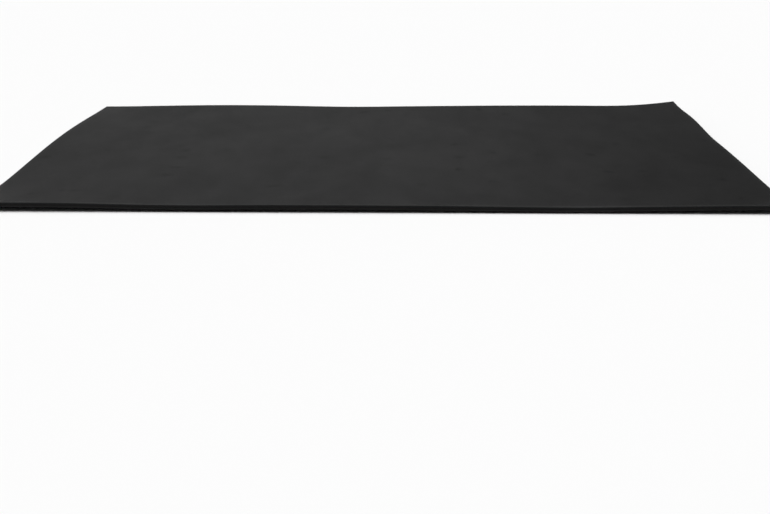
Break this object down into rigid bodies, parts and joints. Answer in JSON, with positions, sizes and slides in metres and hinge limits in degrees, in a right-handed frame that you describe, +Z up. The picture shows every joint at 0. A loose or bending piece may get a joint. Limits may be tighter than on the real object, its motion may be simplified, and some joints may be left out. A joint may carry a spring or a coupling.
{
  "type": "craft foam sheet",
  "caption": "Plain black craft foam sheet, die-cut to a rectangle, lying face up with softly rippled margins and a curled corner.",
  "frame": {"origin": "middle of the underside, on the floor that the sheet lies on", "axes": "+X along the long side, +Y from the front edge to the back edge, +Z up through the thickness"},
  "size_m": [0.305, 0.2288, 0.0056],
  "materials": {
    "black_foam": "matt closed-cell foam skin with a soft sheen at low angles"
  },
  "bodies": {
    "root": {"foam_sheet": "black_foam"}
  },
  "joints": []
}
